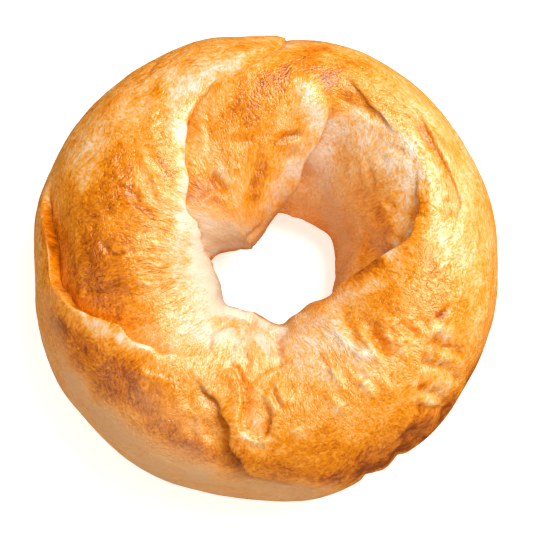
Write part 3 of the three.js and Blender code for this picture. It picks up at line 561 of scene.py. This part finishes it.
def ring_point(theta, phi):
    """Point of the ring before it is folded and flattened: a superellipse in each quarter."""
    theta, phi = np.asarray(theta, float), np.asarray(phi, float)
    cos, sin = np.cos(np.radians(phi)), np.sin(np.radians(phi))
    outside, above = cos >= 0, sin >= 0
    upper = np.where(outside, OUTER_SQUARENESS, round_the_ring(HOLE_SQUARENESS, theta))
    squareness = np.where(above, upper, BASE_SQUARENESS)
    across, along = np.abs(cos) ** (2 / squareness), np.abs(sin) ** (2 / squareness)
    crown = round_the_ring(CROWN_RADIUS, theta)
    edge = np.where(outside, round_the_ring(OUTER_RADIUS, theta), round_the_ring(HOLE_RADIUS, theta))
    waist = np.where(outside, round_the_ring(OUTER_WAIST, theta), round_the_ring(HOLE_WAIST, theta))
    end = np.where(above, round_the_ring(CROWN_HEIGHT, theta), -FLATTENED_DEPTH)
    radius = crown + (edge - crown) * across
    height = waist + (end - waist) * along
    turn = np.radians(theta)
    return np.stack([radius * np.cos(turn), radius * np.sin(turn), height], axis=-1)


def ring_normal(theta, phi, step=0.25):
    """Direction straight out of the ring's surface."""
    around = ring_point(theta + step, phi) - ring_point(theta - step, phi)
    over = ring_point(theta, phi + step) - ring_point(theta, phi - step)
    return unit(np.cross(around, over))


def dough_noise(theta, phi, length, width, seed):
    """Smooth noise from about -1 to 1 with swells of a length round the ring and a width over it."""
    counts = max(3, round(RING_LENGTH / length)), max(3, round(SECTION_LENGTH / width))
    slopes = np.random.default_rng(seed).random(counts) * 2 * math.pi
    x, y = theta / FULL_TURN * counts[0], phi / FULL_TURN * counts[1]
    column, row = np.floor(x).astype(int), np.floor(y).astype(int)
    x, y = x - column, y - row
    share_x, share_y = x**3 * (x * (6 * x - 15) + 10), y**3 * (y * (6 * y - 15) + 10)

    def corner(right, up):
        slope = slopes[(column + right) % counts[0], (row + up) % counts[1]]
        return np.cos(slope) * (x - right) + np.sin(slope) * (y - up)

    lower = corner(0, 0) + share_x * (corner(1, 0) - corner(0, 0))
    upper = corner(0, 1) + share_x * (corner(1, 1) - corner(0, 1))
    return 1.6 * (lower + share_y * (upper - lower))


def smooth_path(rows):
    """Points along a fold's path, with theta carried on past a full turn."""
    rows = np.asarray(rows, float)
    rows[:, 0] = np.degrees(np.unwrap(np.radians(rows[:, 0])))
    padded = np.vstack([2 * rows[0] - rows[1], rows, 2 * rows[-1] - rows[-2]])
    share = np.linspace(0, 1, SAMPLES_PER_STRETCH, endpoint=False)[:, None]
    stretches = [catmull_rom(*padded[i : i + 4], share) for i in range(len(rows) - 1)]
    return np.vstack([*stretches, rows[-1:]])


def place_by_path(points, path, normals, to_lip, strength, chunk=4000):
    """Signed distance of each point from a path, its nearness, the way to the lip, and the strength.

    Samples near the nearest one share in the answer, so that it stays smooth inside a bend.
    """
    along = unit(np.gradient(path, axis=0))
    signed, nearness = np.zeros(len(points)), np.full(len(points), FAR_AWAY)
    lipwards, power = np.zeros((len(points), 3)), np.zeros(len(points))
    for start in range(0, len(points), chunk):
        offset = points[start : start + chunk, None] - path[None]
        distance = np.sqrt((offset * offset).sum(axis=2))
        nearest = distance.min(axis=1)
        reached = np.where(nearest < FOLD_REACH)[0]
        if not len(reached):
            continue
        offset, distance, nearest = offset[reached], distance[reached], nearest[reached]
        sample_width = SAMPLE_WIDTH[0] + SAMPLE_WIDTH[1] * nearest[:, None]
        weight = np.exp(-(((distance - nearest[:, None]) / sample_width) ** 2))
        weight /= weight.sum(axis=1, keepdims=True)
        lip_part = (weight * (offset * to_lip).sum(axis=2)).sum(axis=1)
        out_part = (weight * (offset * normals).sum(axis=2)).sum(axis=1)
        along_part = (weight * (offset * along).sum(axis=2)).sum(axis=1)
        index = start + reached
        signed[index] = np.sign(lip_part) * np.hypot(lip_part, out_part)
        nearness[index] = nearest
        lipwards[index] = weight @ to_lip
        end_width = END_WIDTH[0] + END_WIDTH[1] * nearest
        power[index] = weight @ strength * np.exp(-((along_part / end_width) ** 2))
    return signed, nearness, lipwards, power


def rounded_edge(distance, width, depth):
    """How far a rounded edge has dropped, at a distance from where it is deepest."""
    if not width:
        return 0 * distance
    left = 1 - np.clip(distance / width, 0, 1)
    return depth * (1 - np.sqrt(1 - left * left))


def fold_shift(points, normals, fold):
    """How far a fold moves each point, and how deep under the fold's lip the point lies, which darkens
    the crust as painted shade.
    """
    rows = smooth_path(fold["path"])
    path = ring_point(rows[:, 0], rows[:, 1])
    path_normals = ring_normal(rows[:, 0], rows[:, 1])
    to_lip = np.cross(path_normals, unit(np.gradient(path, axis=0))) * fold["side"]
    signed, nearness, lipwards, power = place_by_path(points, path, path_normals, to_lip, rows[:, 2])
    power = power * np.exp(-((np.maximum(nearness - FOLD_RANGE, 0) / FOLD_FADE) ** 2))
    above, beneath = np.maximum(signed, 0), np.maximum(-signed, 0)
    lip = fold["lift"][0] * np.exp(-((above / fold["lift"][1]) ** FOLD_SLOPE))
    lip = lip - rounded_edge(above, *fold["rounding"])
    floor = -fold["drop"][0] * np.exp(-((beneath / fold["drop"][1]) ** FOLD_SLOPE))
    floor = floor - rounded_edge(beneath, *fold.get("valley", (0, 0)))
    share = np.clip((signed / fold["edge"] + 1) / 2, 0, 1)
    share = share * share * (3 - 2 * share)
    rise = (share * lip + (1 - share) * floor) * power
    tuck, width = fold["tuck"]
    lean = -tuck * signed * np.exp(-((signed / width) ** 2)) * power
    level = unit(lipwards - normals * (lipwards * normals).sum(axis=1)[:, None])
    shade = power * np.exp(-((beneath / SHADE_WIDTH) ** 2)) * (1 - share)
    return normals * rise[:, None] + level * lean[:, None], shade


def distance_to_line(points, theta_from, phi_from, theta_to, phi_to):
    """Distance of each point from a line over the ring's surface."""
    turn = (theta_to - theta_from + FULL_TURN / 2) % FULL_TURN - FULL_TURN / 2
    pieces = max(1, math.ceil(abs(phi_to - phi_from) / LINE_STEP[1] + abs(turn) / LINE_STEP[0]))
    share = np.linspace(0, 1, pieces + 1)
    line = ring_point(theta_from + turn * share, phi_from + (phi_to - phi_from) * share)
    nearest = np.full(len(points), FAR_AWAY)
    for start, end in zip(line[:-1], line[1:]):
        way = end - start
        place = np.clip((points - start) @ way / (way @ way), 0, 1)
        offset = points - start - place[:, None] * way
        nearest = np.minimum(nearest, np.sqrt((offset * offset).sum(axis=1)))
    return nearest


def sum_of_places(points, places, plain=0.0):
    """A value over the crust: a plain one, changed by soft places laid along short lines."""
    total = np.full(len(points), float(plain))
    for *line, half_width, change in places:
        total += change * np.exp(-((distance_to_line(points, *line) / half_width) ** 2))
    return total


def wrinkles(theta, phi, ways):
    """Height of the small relief, and of the wrinkles in it before they are made patchy."""
    height = np.zeros(len(theta))
    for seed, (*size, most) in enumerate(LUMPS, 51):
        height += most * dough_noise(theta, phi, *size, seed)
    mean, change = WRINKLE_STRENGTH
    patchy = mean + change * dough_noise(theta, phi, *WRINKLE_PATCH, 45)
    swirl = swirled(theta, phi)
    fine = np.zeros(len(theta))
    for seed, (way, length, width, most, level) in enumerate(WRINKLES, 53):
        noise = dough_noise(*swirl, length, width, seed)
        if level is not None:
            noise = np.abs(noise) - level
        fine += most * ways.get(way, 1) * noise
    return height + fine * patchy, fine


def row_angles(rows_on_top, rows_beneath, start=-20.0, end=206.0):
    """Angles of the rows round the section, closer together over the top than beneath."""
    top = np.linspace(start, end, rows_on_top, endpoint=False)
    return np.concatenate([top, np.linspace(end, start + FULL_TURN, rows_beneath, endpoint=False)])


def swirled(theta, phi):
    """Angles carried about a little, so that what is laid out by them curls as dough does."""
    carried = []
    for angle, seed, (broad, small) in ((theta, 41, THETA_SWIRL), (phi, 43, PHI_SWIRL)):
        angle = angle + broad * dough_noise(theta, phi, *BROAD_SWIRL, seed)
        carried.append(angle + small * dough_noise(theta, phi, *SMALL_SWIRL, seed + 1))
    return carried


def grain_places(theta, phi):
    """Four coordinates in millimetres that follow the dough both ways round and meet without a seam."""
    turn, over = np.radians(theta), np.radians(phi)
    ring, section = RING_LENGTH / (2 * math.pi), SECTION_LENGTH / (2 * math.pi)
    flat = np.stack([ring * np.cos(turn), ring * np.sin(turn), section * np.cos(over)], axis=-1)
    return flat, section * np.sin(over)


def crust(theta, phi):
    """The dough's surface in millimetres, and what its material reads at each point."""
    plain, normals = ring_point(theta, phi), ring_normal(theta, phi)
    wobble = np.stack([dough_noise(theta, phi, *WOBBLE_SIZE, seed) for seed in (31, 32, 33)], axis=-1)
    looked_up = plain + FOLD_WOBBLE * wobble
    points = plain.copy()
    shade = np.zeros(len(points))
    for fold in FOLDS.values():
        shift, fold_shade = fold_shift(looked_up, normals, fold)
        points += shift
        shade = np.maximum(shade, fold_shade)
    ways = {
        name: np.clip(sum_of_places(looked_up, places), 0, 1)
        for name, places in (("along", ALONG_PLACES), ("across", ACROSS_PLACES), ("crepe", CREPE_PLACES))
    }
    relief, fine = wrinkles(theta, phi, ways)
    strokes = sum_of_places(looked_up, STROKES)
    points += normals * (relief + strokes)[:, None]
    points[:, 2] = np.maximum(points[:, 2], 0)
    broad = plain + PATCH_WOBBLE * wobble
    # How far the crust is baked, with the painted light and shade that some of its places add.
    bake_and_painted_light = sum_of_places(broad, BAKE_AND_PAINTED_LIGHT_PLACES, BAKE_PLAIN)
    for seed, (*size, change) in enumerate(BAKE_CLOUDS, 61):
        bake_and_painted_light += change * dough_noise(theta, phi, *size, seed)
    grain, grain_depth = grain_places(*swirled(theta, phi))
    values = {
        **ways,
        "grain": grain,
        "grain_depth": grain_depth,
        "bake_and_painted_light": bake_and_painted_light,
        "skin": np.clip(sum_of_places(broad, SKIN_PLACES), 0, 1),
        "gloss": np.clip(sum_of_places(broad, GLOSS_PLACES, GLOSS_PLAIN), 0, 1),
        # hollow is where the relief lies low; the material darkens the crust there as painted shade
        "hollow": np.clip(0.5 - fine * HOLLOW_SHADE_SHARES[0] - strokes * HOLLOW_SHADE_SHARES[1], 0, 1),
        "shade": np.clip(shade, 0, 1),
    }
    return points, values


class BagelCrust(PropertyGroup):
    """Sizes and colours of the bagel."""

    columns: IntProperty(
        name="Columns", description="Pairs of faces round the ring", default=220, min=60, max=220
    )
    rows_on_top: IntProperty(
        name="Rows on top", description="Pairs of faces over the top of the dough",
        default=96, min=40, max=96,
    )
    rows_beneath: IntProperty(
        name="Rows beneath", description="Pairs of faces under the dough", default=17, min=10, max=17
    )
    raw: FloatVectorProperty(
        name="Raw dough", description="Colour where the crust has hardly baked", subtype="COLOR",
        size=3, min=0, max=1, default=(0.93, 0.745, 0.55),
    )
    golden: FloatVectorProperty(
        name="Golden", description="Colour of a light crust", subtype="COLOR",
        size=3, min=0, max=1, default=(0.93, 0.445, 0.115),
    )
    amber: FloatVectorProperty(
        name="Amber", description="Colour of most of the crust", subtype="COLOR",
        size=3, min=0, max=1, default=(0.87, 0.275, 0.004),
    )
    brown: FloatVectorProperty(
        name="Brown", description="Colour of a dark crust", subtype="COLOR",
        size=3, min=0, max=1, default=(0.60, 0.14, 0.0),
    )
    dark: FloatVectorProperty(
        name="Dark brown", description="Colour of the darkest blisters", subtype="COLOR",
        size=3, min=0, max=1, default=(0.30, 0.055, 0.0),
    )
    skin: FloatVectorProperty(
        name="Side skin", description="Colour of the pale skin low on the sides", subtype="COLOR",
        size=3, min=0, max=1, default=(0.74, 0.38, 0.16),
    )


class BagelStage(PropertyGroup):
    """Camera, floor and light."""

    elevation: FloatProperty(
        name="Camera elevation", description="Height of the camera above the horizon",
        subtype="ANGLE", default=math.radians(80),
    )
    distance: FloatProperty(
        name="Camera distance", description="From the camera to the bagel", unit="LENGTH", default=0.55
    )
    frame_width: FloatProperty(
        name="Frame width", description="Width that the camera takes in", unit="LENGTH", default=0.1287
    )
    key_power: FloatProperty(
        name="Key light", description="Power of the large light at the upper right", default=4.1
    )
    fill_power: FloatProperty(
        name="Fill light", description="Power of the weak light in front at the left", default=0.45
    )
    side_power: FloatProperty(
        name="Side light", description="Power of the low light at the right", default=0.7
    )
    sky: FloatProperty(name="Sky", description="Brightness of the surroundings", default=0.44)
    sky_in_gloss: FloatProperty(
        name="Sky in gloss", description="Brightness of the surroundings as the crust mirrors them",
        default=0.03,
    )
    floor_glow: FloatProperty(
        name="Floor glow", description="Light that the floor gives off", default=0.55
    )
    floor_colour: FloatVectorProperty(
        name="Floor", description="Colour of the floor", subtype="COLOR",
        size=3, min=0, max=1, default=(0.93, 0.93, 0.93),
    )


def add_node(material, kind, **settings):
    """A new node in a material or in the surroundings, with its settings."""
    node = material.node_tree.nodes.new(kind)
    for name, value in settings.items():
        setattr(node, name, value)
    return node


def read_value(material, name):
    """Socket that gives one of the values that the dough keeps at each point."""
    return add_node(material, "ShaderNodeAttribute", attribute_name=name).outputs["Fac"]


def join(material, operation, first, second):
    """Output of a maths node with two inputs, each a socket or a number."""
    node = add_node(material, "ShaderNodeMath", operation=operation)
    for socket, value in zip(node.inputs, (first, second)):
        if isinstance(value, (int, float)):
            socket.default_value = value
        else:
            material.node_tree.links.new(value, socket)
    return node.outputs[0]


def add_share(material, value, change, share):
    """A value with a share of a change added to it, or taken from it where the share is below zero."""
    return join(material, "ADD", value, join(material, "MULTIPLY", change, share))


def lay_over(material, share, under, over):
    """A colour with a share of a fixed colour laid over it."""
    node = add_node(material, "ShaderNodeMix", data_type="RGBA")
    factor, first, second = node.inputs[0], node.inputs[6], node.inputs[7]
    material.node_tree.links.new(share, factor)
    material.node_tree.links.new(under, first)
    second.default_value = (*over, 1)
    return node.outputs[2]


def grain_noise(material, length, width, detail, roughness=0.5):
    """A noise that follows the dough, with swells of a length round the ring and a width over it."""
    links = material.node_tree.links
    place = add_node(material, "ShaderNodeAttribute", attribute_name="grain").outputs["Vector"]
    stretch = add_node(material, "ShaderNodeVectorMath", operation="MULTIPLY")
    stretch.inputs[1].default_value = (1 / length, 1 / length, 1 / width)
    links.new(place, stretch.inputs[0])
    node = add_node(material, "ShaderNodeTexNoise", noise_dimensions="4D")
    node.inputs["Scale"].default_value = 1.0
    node.inputs["Detail"].default_value = detail
    node.inputs["Roughness"].default_value = roughness
    links.new(stretch.outputs["Vector"], node.inputs["Vector"])
    depth = join(material, "MULTIPLY", read_value(material, "grain_depth"), 1 / width)
    links.new(depth, node.inputs["W"])
    return node.outputs["Fac"]


def crust_material(sizes):
    """Baked crust: coloured by how far it is baked, with painted shade in its creases and hollows and
    under lips, glossy, with fine grain and wrinkles.
    """
    material = bpy.data.materials.new("baked crust")
    material.use_nodes = True
    links = material.node_tree.links
    shader = material.node_tree.nodes["Principled BSDF"]

    mottle = centred(material, grain_noise(material, *MOTTLE_SIZE, 3.0, 0.6))
    pebbles = centred(material, grain_noise(material, *PEBBLE_SIZE, 1.0))
    blisters = centred(material, grain_noise(material, *BLISTER_SIZE, 1.0))
    grain = join(material, "MULTIPLY", pebbles, PEBBLE_HEIGHT)
    grain = add_share(material, grain, blisters, BLISTER_HEIGHT)
    height = grain
    for name, size, most in (
        ("along", STREAK_SIZE, STREAK_HEIGHT),
        ("across", tuple(reversed(STREAK_SIZE)), STREAK_HEIGHT),
        ("crepe", CREASE_SIZE, CREASE_HEIGHT),
    ):
        part = join(material, "MULTIPLY", plates(material, size), read_value(material, name))
        height = add_share(material, height, part, most)

    bake_and_painted_light = read_value(material, "bake_and_painted_light")
    # The bake is darkened in creases, in hollows and under lips as painted shade; the mottle is the
    # crust's own tone.
    for change, share in (
        (mottle, MOTTLE_DEPTH),
        (grain, -GRAIN_DEPTH),
        (height, -WRINKLE_SHADE_DEPTH),
        (centred(material, read_value(material, "hollow")), HOLLOW_SHADE_DEPTH),
        (read_value(material, "shade"), SHADE_DEPTH),
    ):
        bake_and_painted_light = add_share(material, bake_and_painted_light, change, share)
    skin = join(material, "MULTIPLY", read_value(material, "skin"), SKIN_COVER)
    colour = lay_over(material, skin, bake_ramp(material, sizes, bake_and_painted_light), sizes.skin)
    links.new(colour, shader.inputs["Base Color"])

    gloss = join(material, "MULTIPLY", read_value(material, "gloss"), GLOSS_DEPTH)
    rough = join(material, "SUBTRACT", DULL_ROUGHNESS, gloss)
    links.new(add_share(material, rough, mottle, MOTTLE_ROUGHNESS), shader.inputs["Roughness"])
    for name, value in (
        ("IOR", CRUST_IOR),
        ("Specular Tint", (*GLINT_COLOUR, 1)),
        ("Specular IOR Level", 1.0),
        ("Subsurface Weight", SOFTNESS),
        ("Subsurface Radius", SOFT_COLOUR),
        ("Subsurface Scale", SOFT_DEPTH),
    ):
        shader.inputs[name].default_value = value

    bump = add_node(material, "ShaderNodeBump")
    bump.inputs["Strength"].default_value = 1.0
    bump.inputs["Distance"].default_value = RELIEF_HEIGHT
    links.new(height, bump.inputs["Height"])
    links.new(bump.outputs["Normal"], shader.inputs["Normal"])
    return material


def plates(material, size):
    """Rounded plates of crust parted by thin creases, from -1 in a crease to 0."""
    swells = centred(material, grain_noise(material, *size, 1.5))
    node = add_node(material, "ShaderNodeMapRange", interpolation_type="SMOOTHERSTEP")
    node.inputs["From Min"].default_value = 0.0
    node.inputs["From Max"].default_value = CREASE_WIDTH
    node.inputs["To Min"].default_value = -1.0
    node.inputs["To Max"].default_value = 0.0
    material.node_tree.links.new(join(material, "ABSOLUTE", swells, 0), node.inputs["Value"])
    return node.outputs["Result"]


def centred(material, value):
    """A value from 0 to 1 as one from -0.5 to 0.5."""
    return join(material, "SUBTRACT", value, 0.5)


def bake_ramp(material, sizes, bake_and_painted_light):
    """Colour of the crust by how far it is baked, with the painted light and shade that the same value
    carries.
    """
    node = add_node(material, "ShaderNodeValToRGB")
    ramp = node.color_ramp
    colours = (sizes.raw, sizes.golden, sizes.amber, sizes.brown, sizes.dark)
    for place in BAKE_STOPS[1:-1]:
        ramp.elements.new(place)
    for element, place, colour in zip(ramp.elements, BAKE_STOPS, colours):
        element.position = place
        element.color = (*colour, 1)
    material.node_tree.links.new(bake_and_painted_light, node.inputs["Fac"])
    return node.outputs["Color"]


def torus_places(mesh, columns, rows):
    """Which column and row of the torus each of its points is in."""
    points = np.empty(len(mesh.vertices) * 3, np.float32)
    mesh.vertices.foreach_get("co", points)
    x, y, z = points.reshape(-1, 3).T.astype(float)
    around, over = np.arctan2(y, x), np.arctan2(z, np.hypot(x, y) - TORUS_RADII[0])
    return tuple(
        np.rint(angle / (2 * math.pi) * count).astype(int) % count
        for angle, count in ((around, columns), (over, rows))
    )


class BAGEL_OT_dough(Operator):
    """Models the ring of dough with its folds, wrinkles and baked crust"""

    bl_idname = "bagel.dough"
    bl_label = "Bagel"

    def execute(self, context):
        sizes = context.scene.bagel_crust
        rows = row_angles(2 * sizes.rows_on_top, 2 * sizes.rows_beneath)
        bpy.ops.object.select_all(action="DESELECT")
        bpy.ops.mesh.primitive_torus_add(
            major_segments=sizes.columns,
            minor_segments=len(rows) // 2,
            major_radius=TORUS_RADII[0],
            minor_radius=TORUS_RADII[1],
        )
        bpy.ops.object.mode_set(mode="EDIT")
        bpy.ops.mesh.select_all(action="SELECT")
        bpy.ops.mesh.subdivide(number_cuts=1)
        bpy.ops.object.mode_set(mode="OBJECT")
        piece = context.object
        mesh = piece.data
        piece.name = mesh.name = "baked_bagel"
        column, row = torus_places(mesh, 2 * sizes.columns, len(rows))
        theta, phi = column * FULL_TURN / (2 * sizes.columns), rows[row]
        points, values = crust(theta, phi)
        points *= MM
        low, high = (np.array(corner) for corner in CAD_BOX)
        span = points.max(axis=0) - points.min(axis=0)
        points = low + (points - points.min(axis=0)) * (high - low) / span
        mesh.vertices.foreach_set("co", points.astype(np.float32).ravel())
        for name, value in values.items():
            kind, field = ("FLOAT", "value") if value.ndim == 1 else ("FLOAT_VECTOR", "vector")
            kept = mesh.attributes.new(name, kind, "POINT")
            kept.data.foreach_set(field, value.astype(np.float32).ravel())
        mesh.update()
        bpy.ops.object.shade_smooth()
        mesh.materials.append(crust_material(sizes))
        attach(piece, "root")
        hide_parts("bagel")
        return {"FINISHED"}


class BAGEL_OT_stage(Operator):
    """Lays the floor, sets the lights and places the camera"""

    bl_idname = "bagel.stage"
    bl_label = "Stage"

    def execute(self, context):
        stage = context.scene.bagel_stage
        bpy.ops.object.select_all(action="DESELECT")
        bpy.ops.mesh.primitive_plane_add(size=FLOOR_SIZE, location=(0, 0, -FLOOR_GAP))
        floor = context.object
        floor.name = "floor"
        material = bpy.data.materials.new("floor")
        material.use_nodes = True
        shader = material.node_tree.nodes["Principled BSDF"]
        shader.inputs["Base Color"].default_value = (*stage.floor_colour, 1)
        shader.inputs["Roughness"].default_value = FLOOR_ROUGHNESS
        shader.inputs["Emission Color"].default_value = (1, 1, 1, 1)
        shader.inputs["Emission Strength"].default_value = stage.floor_glow
        floor.data.materials.append(material)
        floor.visible_glossy = False

        target = Vector((0, 0, AIM_HEIGHT))
        for name, place, size, power in (
            ("key light", KEY_PLACE, KEY_SIZE, stage.key_power),
            ("fill light", FILL_PLACE, FILL_SIZE, stage.fill_power),
            ("side light", SIDE_PLACE, SIDE_SIZE, stage.side_power),
        ):
            bpy.ops.object.light_add(type="AREA", location=place)
            light = context.object
            light.name = name
            light.data.shape = "SQUARE"
            light.data.size = size
            light.data.energy = power
            light.rotation_euler = (target - Vector(place)).to_track_quat("-Z", "Y").to_euler()
        world = bpy.data.worlds.new("surroundings")
        context.scene.world = world
        world.use_nodes = True
        background = world.node_tree.nodes["Background"]
        background.inputs["Color"].default_value = (1, 1, 1, 1)
        rays = add_node(world, "ShaderNodeLightPath").outputs["Is Glossy Ray"]
        strength = join(world, "MULTIPLY", rays, stage.sky_in_gloss - stage.sky)
        strength = join(world, "ADD", strength, stage.sky)
        world.node_tree.links.new(strength, background.inputs["Strength"])

        back = Vector((0, -math.cos(stage.elevation), math.sin(stage.elevation)))
        bpy.ops.object.camera_add(location=target + back * stage.distance)
        camera = context.object
        camera.rotation_euler = (-back).to_track_quat("-Z", "Y").to_euler()
        camera.data.sensor_width = SENSOR_WIDTH
        camera.data.lens = SENSOR_WIDTH * stage.distance / stage.frame_width
        camera.data.clip_start = NEAREST_SEEN
        camera.data.shift_x, camera.data.shift_y = CAMERA_SHIFT
        context.scene.camera = camera
        context.scene.view_settings.view_transform = "Standard"
        return {"FINISHED"}


class BAGEL_PT_panel(Panel):
    """Lists the steps that make the bagel and its stage"""

    bl_idname = "BAGEL_PT_panel"
    bl_label = "Bagel"
    bl_space_type = "VIEW_3D"
    bl_region_type = "UI"
    bl_category = "Bagel"

    def draw(self, context):
        for operator, settings in (
            (BAGEL_OT_dough, context.scene.bagel_crust),
            (BAGEL_OT_stage, context.scene.bagel_stage),
        ):
            box = self.layout.box()
            for name in settings.bl_rna.properties.keys():
                if name not in ("name", "rna_type"):
                    box.prop(settings, name)
            box.operator(operator.bl_idname)


CLASSES = (BagelCrust, BagelStage, BAGEL_OT_dough, BAGEL_OT_stage, BAGEL_PT_panel)


def register():
    """Adds the classes and the settings that a scene keeps for them."""
    for each in CLASSES:
        bpy.utils.register_class(each)
    bpy.types.Scene.bagel_crust = PointerProperty(type=BagelCrust)
    bpy.types.Scene.bagel_stage = PointerProperty(type=BagelStage)


def unregister():
    """Takes the settings and the classes away again."""
    del bpy.types.Scene.bagel_stage
    del bpy.types.Scene.bagel_crust
    for each in reversed(CLASSES):
        bpy.utils.unregister_class(each)


def main():
    """Makes the stage and the bagel."""
    register()
    bpy.ops.bagel.stage()
    bpy.ops.bagel.dough()


if __name__ == "__main__":
    main()
